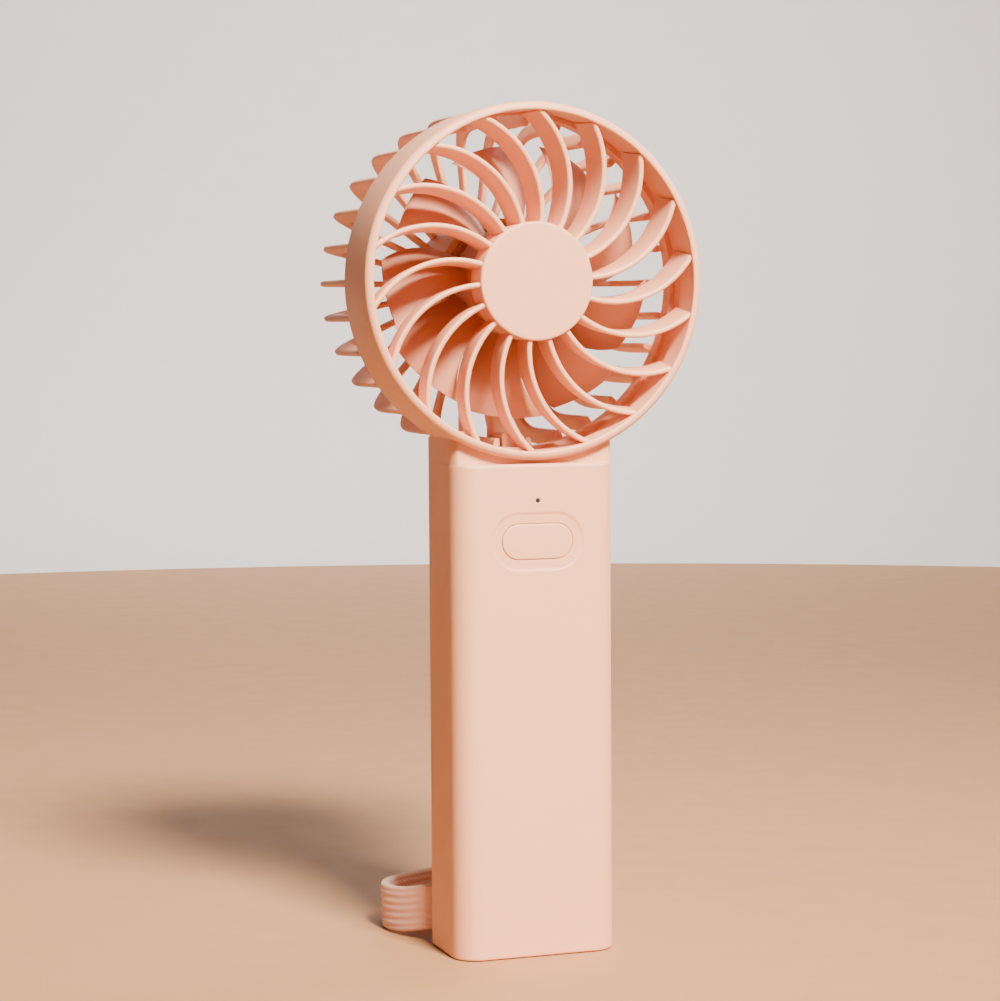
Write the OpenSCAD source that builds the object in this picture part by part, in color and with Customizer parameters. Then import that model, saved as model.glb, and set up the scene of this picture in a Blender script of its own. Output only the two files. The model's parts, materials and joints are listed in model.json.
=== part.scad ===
// Handheld electric fan: a round caged head on a rounded rectangular handle that stands on
// its flat base. Millimetres, +Z up, the fan blows towards -Y. Origin: the middle of the
// bounding box at the base.

/* [Head] */
// Outer diameter of the head
head_d = 90; // [88:1:92]
// Depth of the head, from its front lip to the back of the rear grille
head_depth = 52; // [51.5:0.5:53]
// Depth of the smooth front band
band_depth = 19.5; // [19:0.5:20]
// Wall of the front band
band_wall = 1.3; // [1.3:0.1:1.5]
// Height of the head's centre above the base
head_z = 172; // [170:1:175]

/* [Front grille] */
// Number of swept vanes
vane_count = 18; // [12:1:20]
// Thickness of a vane
vane_t = 1.35; // [1.1:0.05:1.6]
// Depth of a vane, front to back
vane_deep = 9.6; // [7:0.1:9.6]
// Radius of the centre cap
cap_r = 15; // [14:0.5:15.5]

/* [Rear grille] */
// Number of open fins
fin_count = 30; // [24:6:36]
// Thickness of a fin
fin_t = 1.6; // [1.2:0.1:1.8]
// Depth of a fin, inwards from its outer edge
fin_deep = 4.6; // [4:0.1:5]

/* [Impeller] */
// Number of blades
blade_count = 9; // [5:1:9]
// Radius of the blade tips
blade_r = 35; // [33:0.2:37]
// Thickness of a blade
blade_t = 1.2; // [1:0.1:1.5]

/* [Handle] */
// Width of the handle
handle_w = 43.5; // [42:0.5:45]
// Depth of the handle
handle_deep = 28; // [27.5:0.5:29]
// Radius of the handle's upright corners
corner_r = 6.5; // [5:0.5:7]
// Wall of the handle's shells
wall = 1.8; // [1.6:0.1:2]

/* [Button] */
// Length of the button
button_w = 19; // [17:0.5:20]
// Height of the button
button_h = 9; // [8:0.5:10]
// Height of the button's middle above the base
button_z = 106.3; // [105:0.1:107]
// How far the button travels
button_travel = 0.5; // [0.3:0.1:0.6]

/* [Hidden] */
$fn = 96;
eps = 0.01;

// Head, as depths behind the front lip
head_r = head_d / 2;
front_y = -head_depth / 2;
lip_r = head_r - 2.2;
lip_t = 1.4;
lip_round = 1.6;
band_in = head_r - band_wall;
hoop_t = 0.85;
seat_gap = 0.05;
vane_front = 0.8;
vane_arc_r = 24.7;
vane_hub_a = -16.5;
vane_rim_a = 7.5;
hub_wall = 1.6;
cap_t = 2.2;
hub_back = 8.5;

// Rear grille
cage_deep = head_depth - band_depth;
cage_power = 8;
cage_steps = 18;
cup_r = 16.8;
cup_wall = 1.8;
cup_floor = 2;
cup_front = 29;
spigot_deep = 4.5;
spigot_t = 1.2;
arm_w = 5.4;
arm_wall = 1.1;
arm_front = 27.4;
arm_low = 1;
fin_drop = 0.4;
rim_gap = 0.12;

// Motor and impeller, as depths behind the front lip
shaft_r = 1;
running_gap = 0.04;
hub_r = 14.2;
hub_front = 11;
hub_skin = 1.8;
hub_rear = 24;
bell_r = 11.5;
bell_wall = 0.5;
bell_front = hub_front + hub_skin;
bell_rear = 25.2;
magnet_t = 0.9;
magnet_front = 15.5;
magnet_rear = 24.8;
stator_r = 9.7;
stator_front = 17;
stator_rear = 23;
slot_count = 9;
bush_r = 2.4;
bush_len = 3.5;
tube_r = 3.6;
tube_front = 15.5;
base_front = 27;
base_t = 2;
post_r = 2;
post_at = 12.2;
screw_r = 0.8;
head_screw_r = 1.6;
blade_front = 11.6;
blade_rear = 23;
blade_width = 31;
blade_sweep = 16;
blade_span = 9;
blade_chord = 6;

// Handle
handle_front = front_y + 0.8;
handle_y = handle_front + handle_deep / 2;
handle_rear = handle_front + handle_deep;
handle_h = head_z - head_r - 1;
split_y = handle_y;
roof_t = 2;
neck_back = 2.6;
neck_plug_w = 27;
neck_plug_deep = 19;
neck_plug_y = handle_y + 2.2;
flange = 2;
lead_y = front_y + 23.8;
lead_bore_r = 1.8;
base_plate_t = 2.2;
boss_r = 2.7;
boss_x = 16;
boss_low_z = 20;
boss_high_z = handle_h - 9;
case_screw_r = 0.9;
case_head_r = 1.9;
case_head_deep = 1.8;
case_head_t = 1;

// Controls
button_gap = 0.1;
button_step = 0.3;
dish_w = button_w + 5.7;
dish_h = button_h + 5.7;
button_lip = 1;
button_front = handle_front + 0.1;
button_back = handle_front + wall;
plunger_front = button_back + button_lip + 0.7;
plunger_gap = 0.2;
led_z = button_z + 10.4;
led_r = 0.6;
board_front = handle_front + 6.4;
board_t = 1.2;
board_w = 26;
board_post_x = 10.4;
board_post_z = [button_z - 17, led_z + 0.8];
board_low = button_z - 24;
board_high = led_z + 3.6;
switch_w = 6;
switch_t = 2.2;
plunger_r = 1.7;
socket_z = 84;
socket_w = 8.94;
socket_h = 3.26;
socket_deep = 6.5;
socket_skin = 0.3;
charge_y = handle_rear - 0.5 - socket_deep;

// Strap: a flat band that stands on its edge
strap_w = 12;
strap_t = 2.2;
strap_gap = 0.6;
strap_z = 9;
pin_r = 1.1;
pin_x = -16.4;
pin_y = handle_rear - 4.8;
strap_route = [[-17, -0.4, 9], [-19.6, 1.8, 9], [-22.4, 5, 8.2], [-25, 10, 7], [-26.8, 16, 6.3],
  [-27, 21.8, 6.1], [-24.4, 27.4, 6.1], [-18, 31.6, 6.1], [-9, 36, 6.1], [1, 41.6, 6.1],
  [11, 48.4, 6.1], [21, 55.2, 6.1], [30, 59.6, 6.1], [36.6, 59, 6.1], [39.4, 54.4, 6.1],
  [37, 49, 6.1], [29, 44, 6.1], [19, 37.2, 6.1], [9, 30, 6.1], [-1, 22.6, 6.1],
  [-8.6, 15.8, 6.6], [-12.6, 9.8, 7.8], [-13.8, 5, 8.8], [-14.1, -0.4, 9]];

// Battery
cell_r = 9.2;
cell_len = 65;
cell_z = 5;
pad_t = 2.9;

function arc(cx, cy, r, a0, a1, n = 8) =
  [for (i = [0 : n]) let (a = a0 + (a1 - a0) * i / n) [cx + r * cos(a), cy + r * sin(a)]];

// Moves children to the head: x right, y up, z towards the front, 0 at the front lip
module at_head() {
  translate([0, front_y, head_z]) rotate([90, 0, 0]) children();
}

// A round plate or rod in the head, between two depths
module round_at(d0, d1, r) {
  translate([0, 0, -d1]) cylinder(h = d1 - d0, r = r);
}

// A tube in the head, between two depths
module tube_at(d0, d1, r, bore) {
  difference() {
    round_at(d0, d1, r);
    round_at(d0 - 1, d1 + 1, bore);
  }
}

module rounded_rect(w, h, r) {
  union() {
    square([w - 2 * r, h], center = true);
    square([w, h - 2 * r], center = true);
    for (x = [-1, 1], y = [-1, 1])
      translate([x * (w / 2 - r), y * (h / 2 - r)]) circle(r = r);
  }
}

module stadium(w, h) {
  union() {
    square([w - h, h], center = true);
    for (x = [-1, 1]) translate([x * (w - h) / 2, 0]) circle(r = h / 2);
  }
}

// A flat outline set upright in the handle, from y0 back to y1
module upright(y0, y1, x = 0, z = 0) {
  translate([x, y1, z]) rotate([90, 0, 0]) linear_extrude(y1 - y0) children();
}

// A rod through the handle's depth
module rod_y(y0, y1, r, x = 0, z = 0) {
  translate([x, y1, z]) rotate([90, 0, 0]) cylinder(h = y1 - y0, r = r);
}

// The handle's outline seen from above, drawn in by a margin
module handle_plan(margin = 0) {
  translate([0, handle_y])
    rounded_rect(handle_w - 2 * margin, handle_deep - 2 * margin, corner_r - margin);
}

// ---- Head ----

// The band's section: radius against depth
function band_section() = concat(
  [[band_in, -lip_t], [lip_r, -lip_t], [lip_r, -0.5], [lip_r + 0.5, 0]],
  arc(head_r - lip_round, -lip_round, lip_round, 90, 0),
  arc(head_r - 0.8, -band_depth + 0.8, 0.8, 0, -90, 4),
  [[band_in, -band_depth]]);

module neck_block() {
  difference() {
    union() {
      translate([0, 0, handle_h]) linear_extrude(head_r / 2) intersection() {
        handle_plan(0);
        translate([-head_r, handle_front + neck_back]) square([head_d, handle_deep]);
      }
      translate([0, neck_plug_y, handle_h - roof_t - flange])
        linear_extrude(roof_t + flange + 1) rounded_rect(neck_plug_w, neck_plug_deep, 3);
      translate([0, neck_plug_y, handle_h - roof_t - flange])
        linear_extrude(flange) rounded_rect(neck_plug_w + 2 * flange, neck_plug_deep, 3);
    }
    at_head() round_at(-1, band_depth, band_in + band_wall / 2);
    at_head() round_at(band_depth - eps, head_depth, head_r + 0.1);
    translate([0, lead_y, 0]) cylinder(h = head_z, r = lead_bore_r);
  }
}

module head_housing() color("#e8cab9") {
  union() {
    at_head() rotate_extrude($fn = 180) polygon(band_section());
    neck_block();
  }
}

// Centre of the arc that a vane follows, from its two ends and its radius
function vane_centre(r0, r1) =
  let (p = r0 * [cos(vane_hub_a), sin(vane_hub_a)], q = r1 * [cos(vane_rim_a), sin(vane_rim_a)],
       half = norm(q - p) / 2, rise = sqrt(vane_arc_r * vane_arc_r - half * half),
       along = (q - p) / (2 * half))
  (p + q) / 2 + rise * [-along[1], along[0]];

module vane_plan() {
  c = vane_centre(cap_r, band_in - hoop_t / 2);
  side = atan2(c[1], c[0]);
  intersection() {
    translate(c) difference() {
      circle(r = vane_arc_r + vane_t / 2);
      circle(r = vane_arc_r - vane_t / 2);
    }
    difference() {
      circle(r = band_in - hoop_t / 2);
      circle(r = cap_r - hub_wall / 2);
    }
    rotate(side) translate([0, -head_d]) square([head_d, head_d]);
  }
}

module front_grille() color("#edd2c2") at_head() {
  difference() {
    union() {
      tube_at(lip_t, hub_back, band_in - seat_gap, band_in - hoop_t);
      tube_at(cap_t, hub_back, cap_r, cap_r - hub_wall);
      round_at(hub_back - 1.4, hub_back, cap_r - hub_wall / 2);
      for (i = [0 : vane_count - 1]) rotate(i * 360 / vane_count)
        translate([0, 0, -vane_front - vane_deep]) linear_extrude(vane_deep) vane_plan();
    }
    tube_at(-1, lip_t, head_r, lip_r - seat_gap);
    round_at(-1, cap_t, cap_r);
  }
}

module centre_cap() color("#eed6ca") at_head() {
  union() {
    rotate_extrude() polygon([[0, 0], [cap_r - 0.5, 0], [cap_r, -0.5], [cap_r, -cap_t], [0, -cap_t]]);
    tube_at(cap_t - 0.2, 6.5, cap_r - hub_wall - seat_gap, cap_r - hub_wall - 1.2);
  }
}

// Outer edge of a fin: a superellipse from the band's rear rim to the back of the cup
function cage_edge(r, deep) = [for (i = [0 : cage_steps]) let (
    a = 90 * i / cage_steps,
    x = r * pow(cos(a), 2 / cage_power), d = deep * pow(sin(a), 2 / cage_power))
  [x, -band_depth - rim_gap - d]];

module fin_plan() {
  inside = head_r - fin_deep;
  difference() {
    union() {
      polygon(concat(cage_edge(head_r - 0.1, cage_deep - fin_drop), [[0, -band_depth - rim_gap]]));
      translate([inside, -band_depth - 1]) square([fin_deep - band_wall - 0.4, 3]);
    }
    polygon(concat([[inside, 0]], cage_edge(inside, cage_deep - fin_deep), [[0, 0]]));
    translate([0, -head_depth - 1]) square([cup_r - 1, head_depth]);
  }
}

// Hollow strut that takes the leads from the cup to the neck, and its foot on the rim
module lead_arm() {
  difference() {
    union() {
      translate([-arm_w / 2, arm_low - head_r, -arm_front - arm_w])
        cube([arm_w, head_r - arm_low - cup_r + 1.2, arm_w]);
      translate([-arm_w / 2, arm_low - head_r, -arm_front - 1])
        cube([arm_w, 3.2, arm_front + 1 - band_depth - rim_gap]);
      translate([-arm_w / 2, arm_low + 0.9 - head_r, -band_depth - 1])
        cube([arm_w, 1.6, 2]);
    }
    translate([arm_wall - arm_w / 2, arm_low + 2 - head_r, -arm_front - arm_w + arm_wall])
      cube([arm_w - 2 * arm_wall, head_r, arm_w - 2 * arm_wall]);
    translate([arm_wall - arm_w / 2, -head_r, -arm_front - 1.6])
      cube([arm_w - 2 * arm_wall, 7.6, 6.4]);
  }
}

module rear_grille() color("#e2c3b2") at_head() {
  difference() {
    union() {
      tube_at(band_depth - spigot_deep, band_depth, band_in - seat_gap, band_in - seat_gap - spigot_t);
      for (i = [0 : fin_count - 1]) rotate(i * 360 / fin_count)
        translate([0, fin_t / 2, 0]) rotate([90, 0, 0]) linear_extrude(fin_t) fin_plan();
      tube_at(cup_front, head_depth - cup_floor / 2, cup_r, cup_r - cup_wall);
      round_at(head_depth - cup_floor, head_depth, cup_r);
      for (i = [0 : 2]) rotate(90 + 120 * i) translate([post_at, 0, 0])
        round_at(cup_front, head_depth - 1, post_r);
      lead_arm();
    }
    for (i = [0 : 2]) rotate(90 + 120 * i) translate([post_at, 0, 0])
      round_at(cup_front - 1, cup_front + 6, screw_r);
    translate([arm_wall - arm_w / 2, -cup_r - 1, -arm_front - arm_w + arm_wall])
      cube([arm_w - 2 * arm_wall, 6, arm_w - 2 * arm_wall]);
  }
}

// ---- Impeller and motor ----

// A point on a blade: s from root to tip, c along the chord, side -1 behind or 1 in front
function blade_point(s, c, side) =
  let (r = hub_r - 0.4 + s * (blade_r - hub_r + 0.4),
       a = blade_sweep * s * s + blade_width * (c - 0.5),
       bow = 1.4 * sin(180 * c) * (1 - 0.4 * s),
       d = blade_front + (blade_rear - blade_front) * (1 - c) * (1 - 0.28 * s) + 1.6 * s - bow,
       t = blade_t * (0.35 + 0.65 * sin(180 * c)) / 2)
  [r * cos(a), r * sin(a), side * t - d];

module blade() {
  wide = blade_chord + 1;
  count = (blade_span + 1) * wide;
  points = [for (side = [-1, 1], i = [0 : blade_span], j = [0 : blade_chord])
    blade_point(i / blade_span, j / blade_chord, side)];
  skin = [for (i = [0 : blade_span - 1], j = [0 : blade_chord - 1]) let (k = i * wide + j)
    [k + wide, k + wide + 1, k + 1, k]];
  edge = concat(
    [for (j = [0 : blade_chord - 1]) [j, j + 1]],
    [for (i = [0 : blade_span - 1]) [i * wide + blade_chord, (i + 1) * wide + blade_chord]],
    [for (j = [blade_chord : -1 : 1]) [blade_span * wide + j, blade_span * wide + j - 1]],
    [for (i = [blade_span : -1 : 1]) [i * wide, (i - 1) * wide]]);
  split = [for (f = skin) each [[f[0], f[1], f[2]], [f[0], f[2], f[3]]]];
  polyhedron(points, concat(
    split,
    [for (f = split) [f[2] + count, f[1] + count, f[0] + count]],
    [for (e = edge) each [[e[0] + count, e[0], e[1]], [e[1] + count, e[0] + count, e[1]]]]));
}

module impeller() color("#c9764a") at_head() {
  union() {
    difference() {
      rotate_extrude() polygon(concat(
        [[0, -hub_front]], arc(hub_r - 1.2, -hub_front - 1.2, 1.2, 90, 0, 4),
        [[hub_r, -hub_rear], [0, -hub_rear]]));
      round_at(bell_front, hub_rear + 1, bell_r + 0.02);
      round_at(hub_front - 1, hub_rear, shaft_r + 0.01);
    }
    for (i = [0 : blade_count - 1]) rotate(i * 360 / blade_count + 10) blade();
  }
}

module impeller_nut() color("#b9bcc0") at_head() {
  tube_at(hub_front - 1.2, hub_front, 3, shaft_r + 0.01);
}

module motor_shaft() color("#c8ccd0") at_head() {
  round_at(hub_front - 1.4, base_front + base_t + 4, shaft_r);
}

module motor_bell() color("#9a9da1") at_head() {
  difference() {
    round_at(bell_front, bell_rear, bell_r);
    difference() {
      round_at(bell_front + 1, bell_rear + 1, bell_r - bell_wall);
      round_at(bell_front, bell_front + 2.4, 3);
    }
    round_at(bell_front - 1, bell_rear, shaft_r + 0.01);
  }
}

module magnet_ring() color("#4a4a4e") at_head() {
  tube_at(magnet_front, magnet_rear, bell_r - bell_wall, bell_r - bell_wall - magnet_t);
}

module motor_base() color("#e6d9d0") at_head() {
  difference() {
    union() {
      round_at(base_front, base_front + base_t, cup_r - cup_wall - 0.1);
      round_at(tube_front, base_front + base_t, tube_r);
      round_at(base_front + base_t, base_front + base_t + 5, 4.2);
    }
    round_at(tube_front - 1, base_front + base_t + 4.2, bush_r);
    for (i = [0 : 2]) rotate(90 + 120 * i) translate([post_at, 0, 0])
      round_at(base_front - 1, base_front + base_t + 1, screw_r + 0.15);
    translate([0, -7.5, 0]) round_at(base_front - 1, base_front + base_t + 1, 1.9);
  }
}

module motor_stator() color("#7d7f84") at_head() {
  tooth = stator_r - 2.4;
  translate([0, 0, -stator_rear]) linear_extrude(stator_rear - stator_front) difference() {
    union() {
      circle(r = 5);
      for (i = [0 : slot_count - 1]) rotate(i * 360 / slot_count) {
        translate([0, -0.8]) square([tooth + 1.6, 1.6]);
        intersection() {
          difference() {
            circle(r = stator_r);
            circle(r = stator_r - 1.1);
          }
          polygon([[0, 0], [20, 20 * tan(16)], [20, -20 * tan(16)]]);
        }
      }
    }
    circle(r = tube_r + 0.01);
  }
}

module motor_coils() color("#b5652e") at_head() {
  for (i = [0 : slot_count - 1]) rotate(i * 360 / slot_count)
    translate([5.1, 0, -stator_rear - 1]) difference() {
      translate([0, -1.6, 0]) cube([3.2, 3.2, stator_rear - stator_front + 2]);
      translate([-1, -0.82, 0.98]) cube([6, 1.64, stator_rear - stator_front + 0.04]);
    }
}

module motor_bushes() color("#b08d57") at_head() {
  for (d = [tube_front, base_front + base_t + 0.6])
    tube_at(d, d + bush_len, bush_r, shaft_r + running_gap);
}

module motor_board() color("#2f6b4a") at_head() {
  difference() {
    tube_at(base_front - 1, base_front, 9.9, tube_r + 0.05);
    translate([0, -7.5, 0]) round_at(base_front - 2, base_front + 1, 1.2);
  }
}

module motor_screws() color("#b9bcc0") at_head() {
  for (i = [0 : 2]) rotate(90 + 120 * i) translate([post_at, 0, 0]) union() {
    round_at(base_front - 1.1, base_front, head_screw_r);
    round_at(base_front - 0.5, cup_front + 5, screw_r);
  }
}

// ---- Wires ----

// A tube of given radius along route points, with flat ends
module wire(route, r, sides = 8) {
  n = len(route);
  function unit(v) = v / norm(v);
  function heading(i) = unit(route[min(i + 1, n - 1)] - route[max(i - 1, 0)]);
  function side_of(i) = unit(cross(heading(i), [0.96, 0.2, 0.19]));
  rings = [for (i = [0 : n - 1]) let (u = side_of(i), v = cross(heading(i), u))
    each [for (k = [0 : sides - 1]) let (a = 360 * k / sides)
      route[i] + r * (u * cos(a) + v * sin(a))]];
  polyhedron(rings, concat(
    [[for (k = [0 : sides - 1]) k]],
    [for (i = [0 : n - 2], k = [0 : sides - 1]) let (m = (k + 1) % sides)
      each [[(i + 1) * sides + m, i * sides + m, i * sides + k],
            [(i + 1) * sides + k, (i + 1) * sides + m, i * sides + k]]],
    [[for (k = [sides - 1 : -1 : 0]) (n - 1) * sides + k]]));
}

motor_route = [[0, 1, 164.5], [0, 3.6, 163.6], [0, 4.3, 161], [0, 4.2, 157], [0, 4, 151],
  [0, 4, 145], [0, 4, 139], [0, 3.8, 134.6], [0, 2, 132.2], [0, -0.4, 130.6],
  [0, -1.9, 128], [0, -2.2, 124], [0, -2.3, 119.6], [0, -4, 116.8], [0, -8, 115.2],
  [0, -13, 114.2], [0, -17.1, 113.8]];
plus_route = [[3.5, -11.2, 70.95], [6, -11.3, 71.3], [9, -12.4, 73.6], [11, -13.8, 76.6],
  [12, -15.6, 81], [12, -17, 85.6]];
minus_route = [[-3.5, -11.2, 4.05], [-7, -10.8, 4], [-10.4, -9.4, 4.4], [-11.4, -8.2, 7.6],
  [-11.4, -7.6, 12], [-11.4, -7.6, 20], [-11.4, -7.6, 30], [-11.4, -7.6, 40],
  [-11.4, -7.6, 50], [-11.4, -7.6, 60], [-11.6, -9.4, 68], [-11.8, -12.4, 74.6],
  [-12, -15.2, 80], [-12, -17, 85.6]];

module motor_leads() color("#8c3a34") {
  for (x = [-0.7, 0.7]) translate([x, 0, 0]) wire(motor_route, 0.5);
}

module battery_leads() color("#3c3c40") {
  wire(plus_route, 0.6);
  wire(minus_route, 0.6);
}

// ---- Handle ----

// Places children at the four case screws
module at_case_screws() {
  for (x = [-boss_x, boss_x], z = [boss_low_z, boss_high_z]) translate([x, 0, z]) children();
}

module handle_solid() {
  difference() {
    linear_extrude(handle_h) handle_plan(0);
    translate([0, 0, -1]) linear_extrude(handle_h - roof_t + 1) handle_plan(wall);
    translate([0, neck_plug_y, handle_h - roof_t - 1]) linear_extrude(roof_t + 2)
      rounded_rect(neck_plug_w + 0.1, neck_plug_deep + 0.1, 3);
  }
}

module handle_front_shell() color("#e8cab9") {
  difference() {
    union() {
      intersection() {
        handle_solid();
        translate([-head_r, handle_front - 1, 0]) cube([head_d, split_y - handle_front + 1, handle_h]);
      }
      at_case_screws() rod_y(handle_front + wall - 0.2, split_y, boss_r);
      for (x = [-board_post_x, board_post_x], z = board_post_z)
        rod_y(handle_front + wall - 0.2, board_front, 1.8, x, z);
    }
    upright(handle_front - 1, split_y + 1, 0, button_z)
      stadium(button_w + 2 * button_gap, button_h + 2 * button_gap);
    upright(handle_front - 1, handle_front + button_step, 0, button_z) stadium(dish_w, dish_h);
    rod_y(handle_front - 1, handle_front + wall + 1, led_r, 0, led_z);
    at_case_screws() rod_y(split_y - 7, split_y + 1, case_screw_r);
    for (x = [-board_post_x, board_post_x], z = board_post_z)
      rod_y(board_front - 4, board_front + 1, 0.7, x, z);
  }
}

module handle_rear_shell() color("#e2c3b2") {
  difference() {
    union() {
      intersection() {
        handle_solid();
        translate([-head_r, split_y, 0]) cube([head_d, handle_rear - split_y + 1, handle_h]);
      }
      at_case_screws() rod_y(split_y, handle_rear - wall + 0.2, boss_r);
      for (x = [-8, 8]) rod_y(charge_y, handle_rear - wall + 0.2, 1.8, x, socket_z);
      translate([pin_x, pin_y, strap_z + strap_w / 2 + strap_gap]) strap_seat();
    }
    strap_slots();
    translate([pin_x, pin_y, 0]) cylinder(h = strap_z + strap_w / 2 + 2.4, r = pin_r);
    at_case_screws() {
      rod_y(split_y - 1, handle_rear - case_head_deep, case_screw_r + 0.15);
      rod_y(handle_rear - case_head_deep, handle_rear + 1, case_head_r + 0.15);
    }
    upright(charge_y - 1, handle_rear + 1, 0, socket_z)
      stadium(socket_w + 0.4, socket_h + 0.4);
    for (x = [-8, 8]) rod_y(charge_y - 1, charge_y + 3, 0.7, x, socket_z);
  }
}

// Block under the shell's skin that holds the top of the strap pin
module strap_seat() {
  translate([-3.4, -2.4, 0]) cube([7, 6, 3]);
}

// The two slots that the strap's ends pass through
module strap_slots() {
  tall = strap_w + 2 * strap_gap;
  thick = strap_t + 2 * strap_gap;
  translate([-18.6, handle_rear - 1.8, strap_z - tall / 2]) rotate(135)
    translate([-3.2, -thick / 2, 0]) cube([10, thick, tall]);
  translate([-14 - thick / 2, pin_y, strap_z - tall / 2]) cube([thick, 8, tall]);
}

module base_plate() color("#dfc0af") {
  linear_extrude(base_plate_t) handle_plan(wall + seat_gap);
}

module case_screws() color("#b9bcc0") {
  at_case_screws() union() {
    rod_y(handle_rear - case_head_deep, handle_rear - case_head_deep + case_head_t, case_head_r);
    rod_y(split_y - 6, handle_rear - case_head_deep + 0.1, case_screw_r);
  }
}

// ---- Controls ----

module button_cap() color("#ebd0c0") {
  union() {
    upright(button_front, button_back + button_lip, 0, button_z) stadium(button_w, button_h);
    upright(button_back + 0.05, button_back + button_lip, 0, button_z)
      stadium(button_w + 2, button_h + 2);
    rod_y(button_back + 0.5, plunger_front, 2, 0, button_z);
  }
}

module switch_plunger() color("#2b2b2e") {
  rod_y(plunger_front, board_front - button_travel - plunger_gap, plunger_r, 0, button_z);
}

module switch_body() color("#3a3a3e") {
  difference() {
    upright(board_front - switch_t, board_front, 0, button_z)
      square([switch_w, switch_w], center = true);
    rod_y(board_front - switch_t - 1, board_front - 0.1, plunger_r + 0.06, 0, button_z);
  }
}

module main_board() color("#2f6b4a") {
  difference() {
    translate([-board_w / 2, board_front, board_low]) cube([board_w, board_t, board_high - board_low]);
    for (x = [-board_post_x, board_post_x], z = board_post_z)
      rod_y(board_front - 1, board_front + board_t + 1, 1, x, z);
  }
}

module board_screws() color("#b9bcc0") {
  for (x = [-board_post_x, board_post_x], z = board_post_z) union() {
    rod_y(board_front - 3, board_front + board_t + 0.1, 0.7, x, z);
    rod_y(board_front + board_t, board_front + board_t + 0.9, 1.5, x, z);
  }
  for (x = [-8, 8]) union() {
    rod_y(charge_y - 1.1, charge_y + 2.6, 0.7, x, socket_z);
    rod_y(charge_y - 1.8, charge_y - 1, 1.4, x, socket_z);
  }
}

module indicator_led() color("#f2e9c8") {
  translate([-0.8, board_front - 0.8, led_z - 0.4]) cube([1.6, 0.8, 0.8]);
}

module light_pipe() color("#6d5a52") {
  union() {
    rod_y(handle_front + 0.15, board_front - 1, led_r - 0.02, 0, led_z);
    rod_y(handle_front + wall, handle_front + wall + 0.8, 1.2, 0, led_z);
  }
}

module charge_board() color("#2f6b4a") {
  difference() {
    translate([-11, charge_y - 1, socket_z - 5]) cube([22, 1, 10]);
    for (x = [-8, 8]) rod_y(charge_y - 2, charge_y + 1, 0.9, x, socket_z);
  }
}

module usb_socket() color("#c8ccd0") {
  difference() {
    upright(charge_y, charge_y + socket_deep, 0, socket_z) stadium(socket_w, socket_h);
    upright(charge_y + 0.6, charge_y + socket_deep + 1, 0, socket_z)
      stadium(socket_w - 2 * socket_skin, socket_h - 2 * socket_skin);
  }
}

module usb_tongue() color("#2b2b2e") {
  upright(charge_y + 0.6, charge_y + socket_deep - 0.8, 0, socket_z)
    square([6.7, 0.7], center = true);
}

// ---- Battery ----

module battery_cell() color("#4f7fae") {
  translate([0, handle_y, cell_z]) cylinder(h = cell_len, r = cell_r);
}

module battery_tabs() color("#c8ccd0") {
  for (z = [cell_z - 0.3, cell_z + cell_len])
    translate([-4.5, handle_y - 2, z]) cube([9, 4, 0.3]);
}

module battery_pad() color("#5a5a5e") {
  translate([-7, handle_front + wall, cell_z + 4]) cube([14, pad_t, cell_len - 8]);
}

// ---- Strap ----

module strap_pin() color("#c8ccd0") {
  translate([pin_x, pin_y, base_plate_t])
    cylinder(h = strap_z + strap_w / 2 + 2 - base_plate_t, r = pin_r);
}

// A flat band on its edge along a route: its section is a rectangle with cut corners
module band(route, wide, thick, cut = 0.6) {
  n = len(route);
  section = [[thick / 2, -wide / 2 + cut], [thick / 2, wide / 2 - cut],
    [thick / 2 - cut, wide / 2], [cut - thick / 2, wide / 2], [-thick / 2, wide / 2 - cut],
    [-thick / 2, cut - wide / 2], [cut - thick / 2, -wide / 2], [thick / 2 - cut, -wide / 2]];
  sides = len(section);
  function across(i) =
    let (v = route[min(i + 1, n - 1)] - route[max(i - 1, 0)]) [v[1], -v[0], 0] / norm([v[0], v[1]]);
  rings = [for (i = [0 : n - 1]) each [for (p = section) route[i] + across(i) * p[0] + [0, 0, p[1]]]];
  polyhedron(rings, concat(
    [[for (k = [sides - 1 : -1 : 0]) k]],
    [for (i = [0 : n - 2], k = [0 : sides - 1]) let (m = (k + 1) % sides)
      each [[i * sides + k, i * sides + m, (i + 1) * sides + m],
            [i * sides + k, (i + 1) * sides + m, (i + 1) * sides + k]]],
    [[for (k = [0 : sides - 1]) (n - 1) * sides + k]]));
}

module strap_band() color("#e3c0ad") {
  band(strap_route, strap_w, strap_t);
}

head_housing();
front_grille();
centre_cap();
rear_grille();
impeller();
impeller_nut();
motor_shaft();
motor_bell();
magnet_ring();
motor_base();
motor_stator();
motor_coils();
motor_bushes();
motor_board();
motor_screws();
motor_leads();
handle_front_shell();
handle_rear_shell();
base_plate();
case_screws();
button_cap();
switch_plunger();
switch_body();
main_board();
board_screws();
indicator_led();
light_pipe();
charge_board();
usb_socket();
usb_tongue();
battery_cell();
battery_tabs();
battery_pad();
battery_leads();
strap_pin();
strap_band();
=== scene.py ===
"""Studio scene of the handheld fan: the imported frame, finished pieces over it, a floor and lights.
Lengths inside the builders are in millimetres; make() turns them into metres."""
import json
import math

import bpy
import numpy as np
from mathutils import Matrix, Vector


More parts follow.
